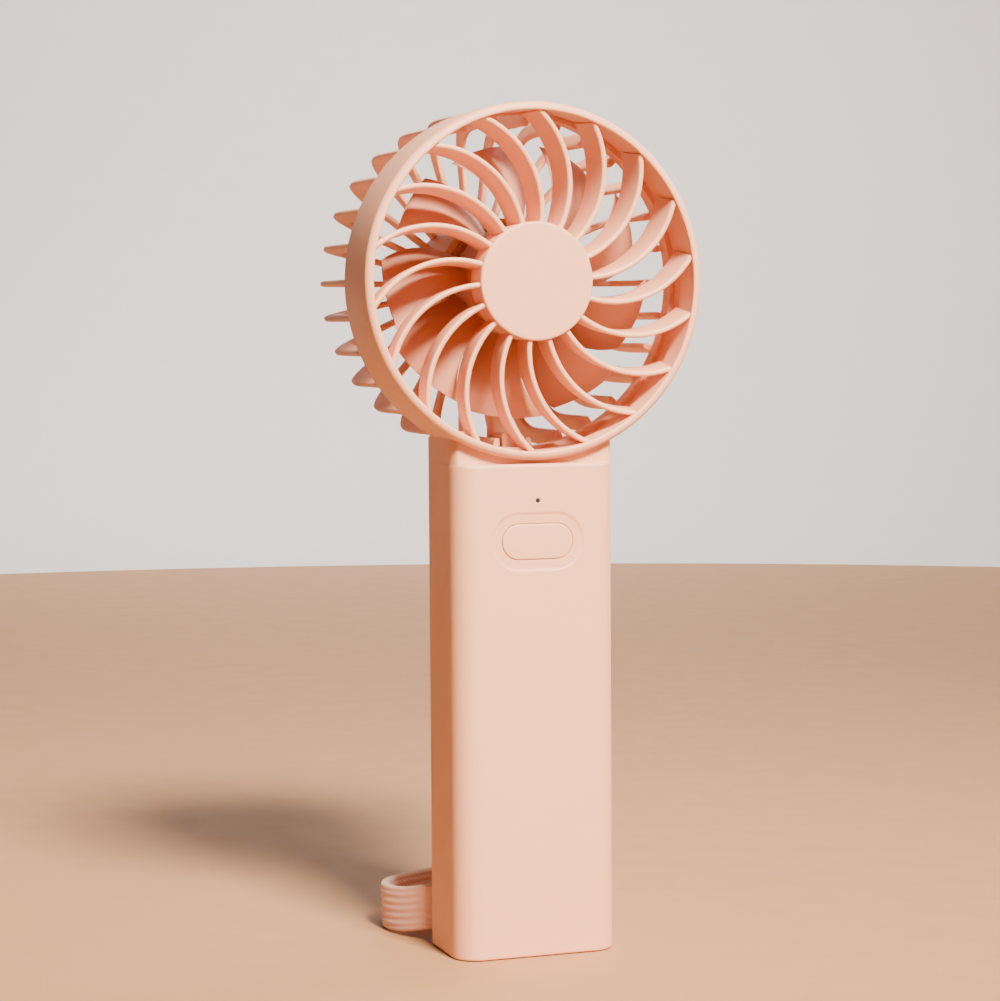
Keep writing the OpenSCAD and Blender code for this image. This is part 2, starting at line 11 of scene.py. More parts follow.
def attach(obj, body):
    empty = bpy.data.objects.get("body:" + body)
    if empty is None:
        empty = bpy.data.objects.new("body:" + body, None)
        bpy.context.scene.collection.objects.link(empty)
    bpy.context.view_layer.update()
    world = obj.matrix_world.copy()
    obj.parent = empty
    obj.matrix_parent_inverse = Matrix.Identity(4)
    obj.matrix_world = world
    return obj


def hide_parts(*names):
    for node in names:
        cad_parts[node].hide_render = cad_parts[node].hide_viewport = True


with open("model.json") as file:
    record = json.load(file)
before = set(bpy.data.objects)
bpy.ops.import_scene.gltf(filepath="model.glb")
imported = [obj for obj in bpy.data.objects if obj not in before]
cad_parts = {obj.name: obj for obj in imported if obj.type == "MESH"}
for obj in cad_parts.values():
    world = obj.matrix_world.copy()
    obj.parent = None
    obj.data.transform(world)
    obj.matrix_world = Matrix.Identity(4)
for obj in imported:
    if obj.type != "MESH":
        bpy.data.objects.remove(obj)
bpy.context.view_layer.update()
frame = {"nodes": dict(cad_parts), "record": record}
NODES = frame["nodes"]

# Sizes the finished pieces share with the frame, in millimetres
HEAD_R, HEAD_Z, FRONT_Y, HEAD_DEEP = 45.0, 172.0, -26.0, 52.0
BAND_DEEP, BAND_IN, LIP_R = 19.5, 43.7, 42.8
CAP_R, CUP_R, VANES, FINS, BLADES, VANE_DEEP, BLADE_R = 15.0, 16.8, 18, 30, 9, 9.6, 35.0
HANDLE_FRONT, HANDLE_Y, HANDLE_REAR, HANDLE_H = -25.2, -11.2, 2.8, 126.0
HALF_W, HALF_D, CORNER, WALL, ROOF = 21.75, 14.0, 6.5, 1.8, 2.0
BUTTON_Z, LED_Z, SOCKET_Z = 106.3, 116.7, 84.0
CASE_SCREWS = [(x, z) for x in (-16, 16) for z in (20, 117)]
NECK_BACK, PLUG_BACK = 2.6, 2.2
FLOOR_GAP = 0.0002  # metres between the base and the floor, so that they share no plane

# Middle line of the strap's band, and the size of its section, in millimetres
STRAP = np.array([
    [-17, -0.4, 9], [-19.6, 1.8, 9], [-22.4, 5, 8.2], [-25, 10, 7], [-26.8, 16, 6.3],
    [-27, 21.8, 6.1], [-24.4, 27.4, 6.1], [-18, 31.6, 6.1], [-9, 36, 6.1], [1, 41.6, 6.1],
    [11, 48.4, 6.1], [21, 55.2, 6.1], [30, 59.6, 6.1], [36.6, 59, 6.1], [39.4, 54.4, 6.1],
    [37, 49, 6.1], [29, 44, 6.1], [19, 37.2, 6.1], [9, 30, 6.1], [-1, 22.6, 6.1],
    [-8.6, 15.8, 6.6], [-12.6, 9.8, 7.8], [-13.8, 5, 8.8], [-14.1, -0.4, 9]])
STRAP_WIDE, STRAP_THICK = 12.0, 2.2


# ---- Camera ----

def set_camera():
    """A long lens a little left of the front and just above the head's middle."""
    yaw, pitch, roll = (math.radians(v) for v in (19.451, 3.794, -0.398))
    level = Vector((math.sin(yaw), math.cos(yaw), 0))
    side = Vector((math.cos(yaw), -math.sin(yaw), 0))
    up = Vector((0, 0, 1))
    forward = level * math.cos(pitch) - up * math.sin(pitch)
    top = up * math.cos(pitch) + level * math.sin(pitch)
    right = side * math.cos(roll) + top * math.sin(roll)
    above = top * math.cos(roll) - side * math.sin(roll)
    data = bpy.data.cameras.new("camera")
    data.lens, data.sensor_width, data.sensor_fit = 97.32, 36, "HORIZONTAL"
    data.clip_start, data.clip_end = 0.01, 50
    cam = bpy.data.objects.new("camera", data)
    place = Matrix((right, above, -forward)).transposed().to_4x4()
    place.translation = (-0.2361, -0.6649, 0.1620)
    cam.matrix_world = place
    bpy.context.scene.collection.objects.link(cam)
    bpy.context.scene.camera = cam


set_camera()


# ---- Surfaces ----

def quads_of(ids, wrap_a=False, wrap_b=False):
    """Quads between neighbours in a table of vertex numbers; wrap joins its last row or column
    to the first."""
    if wrap_a:
        ids = np.vstack([ids, ids[:1]])
    if wrap_b:
        ids = np.hstack([ids, ids[:, :1]])
    return np.stack([ids[:-1, :-1], ids[1:, :-1], ids[1:, 1:], ids[:-1, 1:]], -1).reshape(-1, 4)


def outward(points, quads, tris):
    """Turns a closed surface inside out if a . (b x c), summed over its triangles, is negative."""
    t = np.vstack([quads[:, [0, 1, 2]], quads[:, [0, 2, 3]], tris])
    a, b, c = (points[t[:, k]] for k in range(3))
    if np.einsum("ij,ij->i", a, np.cross(b, c)).sum() < 0:
        return points, quads[:, ::-1], tris[:, ::-1]
    return points, quads, tris


def loft(rings, wrap=False):
    """Skin over closed rings, rings[i, j] for ring i and place j round it. The end rings are closed
    by fans to their middles, or with wrap they're joined to each other."""
    n, m = rings.shape[:2]
    ids = np.arange(n * m).reshape(n, m)
    points = rings.reshape(-1, 3)
    quads = quads_of(ids, wrap, True)
    if wrap:
        return outward(points, quads, np.zeros((0, 3), int))
    points = np.vstack([points, rings[0].mean(0), rings[-1].mean(0)])
    first, last = np.full(m, n * m), np.full(m, n * m + 1)
    tris = np.vstack([np.stack([ids[0], np.roll(ids[0], -1), first], -1),
                      np.stack([np.roll(ids[-1], -1), ids[-1], last], -1)])
    return outward(points, quads, tris)


def head(x, y, depth):
    """Points from the head's own axes: x right, y up, depth behind the front lip."""
    x, y, depth = np.broadcast_arrays(x, y, depth)
    return np.stack([x, FRONT_Y + depth, HEAD_Z + y], -1)


def turned(profile, steps=180):
    """Rings of a section carried round the head's axis: profile rows are (radius, depth)."""
    a = np.linspace(0, 2 * np.pi, steps, endpoint=False)[:, None]
    return head(profile[:, 0] * np.cos(a), profile[:, 0] * np.sin(a), profile[:, 1])


def arc(cx, cy, r, a0, a1, steps=6):
    """Points (cx + r cos a, cy + r sin a) from angle a0 to a1, in degrees."""
    a = np.radians(np.linspace(a0, a1, steps + 1))
    return np.stack([cx + r * np.cos(a), cy + r * np.sin(a)], -1)


def rounded(w, h, r, steps=4):
    """Outline of a rectangle w by h whose corners are quarter circles of radius r."""
    return np.vstack([arc(w / 2 - r, h / 2 - r, r, 0, 90, steps),
                      arc(r - w / 2, h / 2 - r, r, 90, 180, steps),
                      arc(r - w / 2, r - h / 2, r, 180, 270, steps),
                      arc(w / 2 - r, r - h / 2, r, 270, 360, steps)])


def even(points, count):
    """The same line with count points evenly spaced along its length."""
    run = np.concatenate([[0], np.cumsum(np.linalg.norm(np.diff(points, axis=0), axis=1))])
    at = np.linspace(0, run[-1], count)
    return np.stack([np.interp(at, run, points[:, k]) for k in range(points.shape[1])], -1)


def even_ring(outline, count):
    """The same closed outline with count points evenly spaced round it."""
    return even(np.vstack([outline, outline[:1]]), count + 1)[:-1]


def spin(part, count, start=0.0):
    """The part repeated count times round the head's axis: x' = x cos a + z sin a, and so on."""
    points, quads, tris = part
    a = np.radians(start) + np.arange(count)[:, None] * 2 * np.pi / count
    x, z = points[:, 0], points[:, 2] - HEAD_Z
    out = np.stack([x * np.cos(a) - z * np.sin(a), np.broadcast_to(points[:, 1], (count, len(x))),
                    HEAD_Z + x * np.sin(a) + z * np.cos(a)], -1).reshape(-1, 3)
    step = np.arange(count)[:, None, None] * len(points)
    return out, (quads + step).reshape(-1, 4), (tris + step).reshape(-1, 3)


def make(name, parts, body, nodes, finish, sharp=32):
    """One object from closed parts, in metres, that rides on a body and stands for CAD nodes."""
    size = np.cumsum([0] + [len(p[0]) for p in parts])
    points = np.vstack([p[0] for p in parts]) / 1000
    faces = (np.vstack([p[1] + s for p, s in zip(parts, size)]).tolist()
             + np.vstack([p[2] + s for p, s in zip(parts, size)]).tolist())
    mesh = bpy.data.meshes.new(name)
    mesh.from_pydata(points.tolist(), [], faces)
    mesh.validate()
    mesh.shade_smooth()
    mesh.set_sharp_from_angle(angle=math.radians(sharp))
    mesh.materials.append(finish)
    obj = bpy.data.objects.new(name, mesh)
    bpy.context.scene.collection.objects.link(obj)
    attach(obj, body)
    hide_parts(*nodes)
    return obj


# ---- Materials ----

def linear(code):
    """Linear RGB and alpha from an sRGB hex colour."""
    c = [int(code[i:i + 2], 16) / 255 for i in (1, 3, 5)]
    return [v / 12.92 if v <= 0.04045 else ((v + 0.055) / 1.055) ** 2.4 for v in c] + [1.0]


def add(tree, kind, inputs=(), **settings):
    """A shader node with its properties set and its inputs filled by a value or a socket."""
    node = tree.nodes.new(kind)
    for key, value in settings.items():
        setattr(node, key, value)
    for key, value in dict(inputs).items():
        if isinstance(value, bpy.types.NodeSocket):
            tree.links.new(value, node.inputs[key])
        else:
            node.inputs[key].default_value = value
    return node


def finish_of(name, colour, shade, rough, grain, relief, metal=0.0, stretch=(1, 1, 1), milky=0.0,
              fuzz=0.0, bands=None):
    """A surface with fine grain of the given size and relief in millimetres, broad handling marks
    that change its gloss, and colour that drifts between two tones. Milky is how much light
    scatters a millimetre under the surface. Bands add ridges that far apart, in millimetres."""
    mat = bpy.data.materials.new(name)
    mat.use_nodes = True
    tree = mat.node_tree
    skin = tree.nodes["Principled BSDF"]
    place = add(tree, "ShaderNodeTexCoord").outputs["Object"]
    pulled = add(tree, "ShaderNodeMapping", {"Vector": place, "Scale": stretch}).outputs["Vector"]
    fine = add(tree, "ShaderNodeTexNoise", {"Vector": pulled, "Scale": 1000 / grain,
                                            "Detail": 3.0, "Roughness": 0.6}).outputs[0]
    broad = add(tree, "ShaderNodeTexNoise",
                {"Vector": place, "Scale": 1000 / 14, "Detail": 4.0}).outputs[0]
    tone = add(tree, "ShaderNodeMix", {"Factor": broad, "A": linear(colour), "B": linear(shade)},
               data_type="RGBA")
    gloss = add(tree, "ShaderNodeMath", {0: broad, 1: 0.16, 2: rough - 0.08},
                operation="MULTIPLY_ADD")
    gloss = add(tree, "ShaderNodeMath", {0: fine, 1: 0.08, 2: gloss.outputs[0]},
                operation="MULTIPLY_ADD")
    height = fine
    if bands:
        ridges = add(tree, "ShaderNodeTexWave", {"Vector": place, "Scale": 1000 / bands / 20,
                                                 "Distortion": 0.4}, bands_direction="Y")
        height = add(tree, "ShaderNodeMath", {0: ridges.outputs["Fac"], 1: 3.0, 2: fine},
                     operation="MULTIPLY_ADD").outputs[0]
    bump = add(tree, "ShaderNodeBump",
               {"Height": height, "Distance": relief / 1000, "Strength": 1.0})
    tree.links.new(tone.outputs["Result"], skin.inputs["Base Color"])
    tree.links.new(gloss.outputs[0], skin.inputs["Roughness"])
    tree.links.new(bump.outputs[0], skin.inputs["Normal"])
    skin.inputs["Metallic"].default_value = metal
    if milky:
        skin.inputs["Subsurface Weight"].default_value = milky
        skin.inputs["Subsurface Radius"].default_value = (1.0, 0.45, 0.25)
        skin.inputs["Subsurface Scale"].default_value = 0.0012
    if fuzz:
        skin.inputs["Sheen Weight"].default_value = fuzz
    return mat


FINISH = {
    # Matte spark-textured ABS: a fine even grain with slightly smoother places where it is held
    "peach_abs": finish_of("matte peach ABS", "#edad89", "#eaa983", 0.46, 0.35, 0.012, milky=0.25),
    # Impeller and motor mount: the case's ABS in a deeper tone, painted shade as the rusty depth
    # behind the vanes
    "peach_abs_inner": finish_of("peach ABS darkened for painted shade", "#ca8b6d", "#c58466", 0.48, 0.4, 0.01,
                                 milky=0.25),
    # Nickel-plated steel: bright, with fine drawn lines
    "bright_steel": finish_of("nickel-plated steel", "#c9ccd0", "#b4b8bc", 0.26, 0.12, 0.004, 1.0,
                              (1, 8, 1)),
    # Laminated motor steel and magnet: dark, dull and a little grainy
    "dark_steel": finish_of("dull plated steel", "#6c6e72", "#55575b", 0.42, 0.2, 0.006, 1.0,
                            (6, 1, 1)),
    # Lacquered copper winding: warm, with close ridges of wire
    "copper_wire": finish_of("lacquered copper", "#b8703c", "#9c552a", 0.3, 0.15, 0.02, 1.0,
                             bands=0.3),
    # Oil-soaked sintered bronze: matte and pitted
    "sintered_bronze": finish_of("sintered bronze", "#a98a5a", "#8e7146", 0.5, 0.1, 0.015, 1.0),
    # Solder-masked glass board: green with a waxy gloss
    "circuit_board": finish_of("solder mask", "#2c6a48", "#235a3c", 0.34, 0.6, 0.01),
    # PVC lead sleeve: soft sheen, slightly rubbed
    "lead_sleeve": finish_of("PVC lead sleeve", "#7c3a34", "#66302c", 0.42, 0.3, 0.006),
    # Glass-filled nylon: near black with a coarse dry grain
    "black_nylon": finish_of("black nylon", "#2a2a2d", "#222225", 0.55, 0.25, 0.012),
    # Cast resin of the indicator: pale and glossy
    "led_resin": finish_of("cast resin", "#efe6c8", "#e6dcba", 0.16, 0.5, 0.002, milky=0.3),
    # Light pipe: nearly black with a frosted end, painted shade so that it reads as the small dark
    # dot of its hole
    "light_pipe": finish_of("smoked acrylic", "#241712", "#1e130f", 0.5, 0.3, 0.004),
    # Shrink sleeve of the cell: blue, tight and shiny with faint wrinkles
    "cell_sleeve": finish_of("shrink sleeve", "#4f7fae", "#44719e", 0.28, 3.0, 0.03),
    # Closed-cell foam: dark, soft and rough
    "foam": finish_of("closed-cell foam", "#56565a", "#47474b", 0.85, 0.7, 0.12, fuzz=0.3),
    # Woven polyester webbing: matte, with a little loose fibre that catches the light
    "strap_webbing": finish_of("peach webbing", "#e8ae90", "#dd9f80", 0.72, 0.18, 0.03, fuzz=0.5),
}


# ---- Strap: a woven band ----

def smooth_line(points, count):
    """Catmull-Rom curve through the points, resampled evenly: each span is the cubic
    (2p1 + (p2 - p0)t + (2p0 - 5p1 + 4p2 - p3)t^2 + (3p1 - p0 - 3p2 + p3)t^3) / 2."""
    p = np.vstack([2 * points[0] - points[1], points, 2 * points[-1] - points[-2]])
    t = np.linspace(0, 1, 24, endpoint=False)[None, :, None]
    p0, p1, p2, p3 = (p[k:len(p) - 3 + k, None] for k in range(4))
    curve = (2 * p1 + (p2 - p0) * t + (2 * p0 - 5 * p1 + 4 * p2 - p3) * t ** 2
             + (3 * p1 - p0 - 3 * p2 + p3) * t ** 3) / 2
    return even(np.vstack([curve.reshape(-1, 3), points[-1]]), count)


def webbing(line):
    """Section (q, h) of a band on its edge carried along the line. Its faces rise and fall by
    0.09 cos(2 pi h / 1.9) for the lengthwise cords and 0.05 cos(2 pi (run + |h|) / 1.3) for the
    weave."""
    section = even_ring(rounded(STRAP_THICK, STRAP_WIDE, 0.95, 6), 88)
    along = np.gradient(line, axis=0)
    along[:, 2] = 0
    along /= np.linalg.norm(along, axis=1)[:, None]
    across = np.stack([along[:, 1], -along[:, 0], np.zeros(len(line))], -1)
    run = np.linspace(0, np.linalg.norm(np.diff(line, axis=0), axis=1).sum(), len(line))
    q, h = section[:, 0], section[:, 1]
    flat = np.clip((STRAP_WIDE / 2 - np.abs(h)) / 0.9, 0, 1)
    weave = 0.05 * np.cos(2 * np.pi * (run[:, None] + np.abs(h)) / 1.3)
    rise = (0.09 * np.cos(2 * np.pi * h / 1.9) + weave) * flat * np.sign(q)
    rings = line[:, None] + across[:, None] * (q + rise - 0.1 * np.sign(q))[:, :, None]
    rings[:, :, 2] += h
    return loft(rings)


strap_line = smooth_line(STRAP, 620)
strap = make("wrist_strap", [webbing(strap_line)], "body", ["strap_band"],
             FINISH["strap_webbing"], 60)


# ---- Head ----

def band():
    """Closed section of the front band carried round the axis: a lip 1.4 deep whose front is
    rounded at 1.6 outside and 0.5 inside, then a plain wall with a softened rear rim."""
    profile = np.vstack([[[BAND_IN, 1.4], [LIP_R + 0.1, 1.4]], arc(LIP_R + 0.5, 0.5, 0.5, 180, 270),
                         arc(HEAD_R - 1.6, 1.6, 1.6, 270, 360, 10),
                         arc(HEAD_R - 0.8, BAND_DEEP - 0.8, 0.8, 0, 90, 5), [[BAND_IN, BAND_DEEP]]])
    return loft(turned(profile), wrap=True)


def neck_line():
    """The neck's outline: the handle's outline, with y held behind the neck's front by the smooth
    limit y0 + ln(1 + e^(5 (y - y0))) / 5."""
    plan = even_ring(rounded(2 * HALF_W, 2 * HALF_D, CORNER, 16), 240)
    y0 = HANDLE_FRONT + NECK_BACK
    y = HANDLE_Y + plan[:, 1]
    return plan[:, 0], y0 + np.log1p(np.exp(5 * (y - y0))) / 5


def under_head(x, y):
    """Height of the head's underside, HEAD_Z - sqrt(r^2 - x^2): r is just inside the band's wall in
    front, and just clear of the cage behind, with a smooth step from one to the other."""
    behind = 1 / (1 + np.exp(-8 * (y - (FRONT_Y + BAND_DEEP))))
    return HEAD_Z - np.sqrt((HEAD_R - 1.1 + 1.2 * behind) ** 2 - x ** 2)


def neck():
    """Rings that rise from the handle's top to the head's underside, then close in along it."""
    x, y = neck_line()
    top = under_head(x, y)
    rings = [np.stack([x, y, HANDLE_H + t * (top - HANDLE_H)], -1) for t in np.linspace(0, 1, 24)]
    for t in np.linspace(0.96, 0.04, 14):
        a, b = x * t, HANDLE_Y + (y - HANDLE_Y) * t
        rings.append(np.stack([a, b, under_head(a, b)], -1))
    return loft(np.array(rings))


def neck_plug():
    """The rounded rectangle under the neck that fills the opening in the handle's roof."""
    plan = rounded(27, 19, 3, 8)
    y = HANDLE_Y + PLUG_BACK + plan[:, 1]
    return loft(np.array([np.c_[plan[:, 0], y, np.full(len(plan), z)] for z in (122, 124, 127)]))


make("head_ring_and_neck", [band(), neck(), neck_plug()], "body", ["head_housing"],
     FINISH["peach_abs"])


def vane():
    """A rounded section 1.35 by 9.6 carried along a circular arc of radius 24.7, from the hub at
    -16.5 degrees to the hoop at 7.5 degrees. The front edge is fully round, and the section leans
    back by 2 degrees round the axis, so that its rear edge is swept a little from its front."""
    r0, r1, sweep = CAP_R, 42.375, 24.7
    p = r0 * np.array([np.cos(np.radians(-16.5)), np.sin(np.radians(-16.5))])
    q = r1 * np.array([np.cos(np.radians(7.5)), np.sin(np.radians(7.5))])
    half = np.linalg.norm(q - p) / 2
    along = (q - p) / (2 * half)
    centre = (p + q) / 2 + math.sqrt(sweep ** 2 - half ** 2) * np.array([-along[1], along[0]])
    a0, a1 = (math.atan2(*(e - centre)[::-1]) for e in (p, q))
    a = np.linspace(a0 - 0.02, a1 + 0.038, 34)[:, None]
    front, rear = arc(0, 0.62, 0.62, 180, 360, 10), arc(0, VANE_DEEP - 0.4, 0.4, 0, 180, 4)
    section = np.vstack([front * [0.675 / 0.62, 1], rear + 0.275 * np.sign(rear * [1, 0])])
    r = sweep + section[:, 0]
    x, y = centre[0] + r * np.cos(a), centre[1] + r * np.sin(a)
    lean = np.radians(2.0) * section[:, 1] / VANE_DEEP
    return loft(head(x * np.cos(lean) - y * np.sin(lean), x * np.sin(lean) + y * np.cos(lean),
                     0.8 + section[:, 1]))


def front_hoop():
    """Closed sections of the hoop inside the band and of the hub tube, carried round the axis."""
    hoop = np.array([[BAND_IN - 0.85, 1.4], [BAND_IN - 0.05, 1.4], [BAND_IN - 0.05, 8.5],
                     [BAND_IN - 0.85, 8.5]])
    tube = np.array([[CAP_R - 1.6, 2.2], [CAP_R, 2.2], [CAP_R, 8.2], [CAP_R - 0.3, 8.5],
                     [0.4, 8.5], [0.4, 7.1], [CAP_R - 1.6, 7.1]])
    return [loft(turned(hoop), wrap=True), loft(turned(tube), wrap=True)]


make("front_vanes", front_hoop() + [spin(vane(), VANES)], "body", ["front_grille"],
     FINISH["peach_abs"])


def cap():
    """A flat disc whose rim is a quarter circle of radius 0.6, with its skirt behind."""
    face = np.vstack([[[CAP_R * k, 0.0] for k in (0.02, 0.3, 0.6, 0.9)],
                      arc(CAP_R - 0.6, 0.6, 0.6, 270, 360, 5), [[CAP_R, 2.2], [0.3, 2.2]]])
    skirt = np.array([[12.15, 2.0], [13.35, 2.0], [13.35, 6.5], [12.15, 6.5]])
    return [loft(turned(face, 144).transpose(1, 0, 2)), loft(turned(skirt, 96), wrap=True)]


make("hub_cap", cap(), "body", ["centre_cap"], FINISH["peach_abs"])


def cage_line(r, deep, count):
    """Quarter of the superellipse (x/r)^8 + (d/deep)^8 = 1, from the band to the cup."""
    a = np.radians(np.linspace(0, 90, 4001)[:-1])
    line = np.stack([r * np.cos(a) ** 0.25, deep * np.sin(a) ** 0.25], -1)
    line = np.vstack([[r, 0], even(line, 900)])
    return even(line[line[:, 0] > CUP_R - 0.9], count)


def fin():
    """A rounded section carried between an outer and an inner superellipse; its width at each
    step is the distance between them, and its thickness is 1.6."""
    outer = cage_line(HEAD_R - 0.1, HEAD_DEEP - BAND_DEEP - 0.4, 70)
    inner = cage_line(HEAD_R - 4.6, HEAD_DEEP - BAND_DEEP - 4.6, 70)
    section = rounded(2, 2, 0.62, 5)
    middle, half = (outer + inner) / 2, (outer - inner) / 2
    place = middle[:, None] + half[:, None] * section[None, :, :1]
    return loft(head(place[..., 0], section[:, 1] * 0.8, BAND_DEEP + place[..., 1]))


def cup():
    """Closed half sections carried round the axis: the spigot in the band, and the motor cup with
    its rear edge rounded at 1.4."""
    spigot = np.array([[BAND_IN - 1.25, 15], [BAND_IN - 0.05, 15], [BAND_IN - 0.05, BAND_DEEP],
                       [BAND_IN - 1.25, BAND_DEEP]])
    shell = np.vstack([[[0.3, 50], [15, 50], [15, 29], [CUP_R, 29]],
                       arc(CUP_R - 1.4, HEAD_DEEP - 1.4, 1.4, 0, 90), [[0.3, HEAD_DEEP]]])
    return [loft(turned(spigot), wrap=True), loft(turned(shell, 120).transpose(1, 0, 2))]


def lead_arm():
    """A rounded square bar from the cup down to the rim, its foot on the rim, and three round posts
    inside the cup."""
    plan = rounded(5.4, 5.4, 0.7)
    arm = np.array([head(plan[:, 0], y, 30.1 + plan[:, 1]) for y in (-44, -30, -16.2)])
    foot = rounded(5.4, 5.0, 0.5)
    down = np.array([head(foot[:, 0], foot[:, 1] - 41.5, d) for d in (19.7, 24, 29)])
    post = arc(12.2, 0, 2, 0, 360, 24)[:-1]
    posts = np.array([head(post[:, 0], post[:, 1], d) for d in (29, 40, 51)])
    return [loft(arm), loft(down), spin(loft(posts), 3, 90)]


make("rear_cage", cup() + lead_arm() + [spin(fin(), FINS)], "body", ["rear_grille"],
     FINISH["peach_abs"])


# ---- Impeller ----

def blade():
    """A twisted blade: at span s and chord c, radius 13.8 + 21.2 s, angle 16 s^2 + 31 (c - 0.5)
    degrees, depth 11.6 + 11.4 (1 - c)(1 - 0.28 s) + 1.6 s - 1.4 sin(pi c)(1 - 0.4 s), with the two
    sides set apart by a thickness that thins to each edge."""
    s = np.linspace(0, 1, 36)[:, None]
    turn = np.linspace(0, 2 * np.pi, 48, endpoint=False)
    c = 0.5 - 0.5 * np.cos(turn)
    side = np.sign(np.sin(turn)) * np.abs(np.sin(turn)) ** 0.3
    thick = 0.6 * (0.35 + 0.65 * np.sin(np.pi * c)) * side
    r = 13.8 + (BLADE_R - 13.8) * s - 0.12 * (s == 1)
    a = np.radians(16 * s ** 2 + 31 * (c - 0.5))
    belly = 1.4 * np.sin(np.pi * c) * (1 - 0.4 * s)
    depth = 11.6 + 11.4 * (1 - c) * (1 - 0.28 * s) + 1.6 * s - belly
    return loft(head(r * np.cos(a), r * np.sin(a), depth - thick))


def hub():
    """Closed section of the hub carried round the axis: front corner rounded at 1.2, rear open."""
    return loft(turned(np.vstack([[[1.05, 11]], arc(13, 12.2, 1.2, 270, 360), [
        [14.2, 23.7], [13.9, 24], [11.6, 24], [11.55, 12.8], [1.05, 12.8]]]), 144), wrap=True)


# The impeller wears the case's plastic darkened by painted shade
make("fan_wheel", [hub(), spin(blade(), BLADES, 10)], "rotor", ["impeller"],
     FINISH["peach_abs_inner"])


# ---- Handle ----

FLAT = HALF_W - CORNER
ROUND = CORNER * math.pi / 2
SPAN = FLAT + ROUND + HALF_D - CORNER


def wall_at(s, z, inset, facing):
    """A point on the handle's wall: s is the distance round it from the middle of its front or
    rear face, z the height, inset the depth into the wall. Facing is -1 in front, 1 behind."""
    s, z, inset = np.broadcast_arrays(s, z, inset)
    t, sign = np.abs(s), np.sign(s)
    turn = np.clip((t - FLAT) / CORNER, 0, math.pi / 2)
    x = sign * np.minimum(t, FLAT) + sign * (CORNER - inset) * np.sin(turn)
    y = HALF_D - CORNER + (CORNER - inset) * np.cos(turn) - np.maximum(t - FLAT - ROUND, 0)
    return np.stack([x, HANDLE_Y + facing * y, z], -1)


def opening_at(s, z, facing):
    """A point on half of the roof's opening, a rounded rectangle 27.1 by 19.1 round the neck's
    plug, at the same fraction of its length as s is of the wall's."""
    half_w, corner = 13.55, 3.0
    rear = facing * PLUG_BACK + 9.55
    flat, quarter = half_w - corner, corner * math.pi / 2
    t = np.abs(s) / SPAN * (flat + quarter + rear - corner)
    turn = np.clip((t - flat) / corner, 0, math.pi / 2)
    x = np.sign(s) * (np.minimum(t, flat) + corner * np.sin(turn))
    y = rear - corner + corner * np.cos(turn) - np.maximum(t - flat - quarter, 0)
    x, y, z = np.broadcast_arrays(x, HANDLE_Y + facing * y, z)
    return np.stack([x, y, z], -1)


def steps(marks, gap):
    """Values from the first mark to the last that meet every mark, no more than gap apart."""
    parts = [np.linspace(a, b, max(1, math.ceil((b - a) / gap)) + 1)[:-1]
             for a, b in zip(marks, marks[1:])]
    return np.append(np.concatenate(parts), marks[-1])


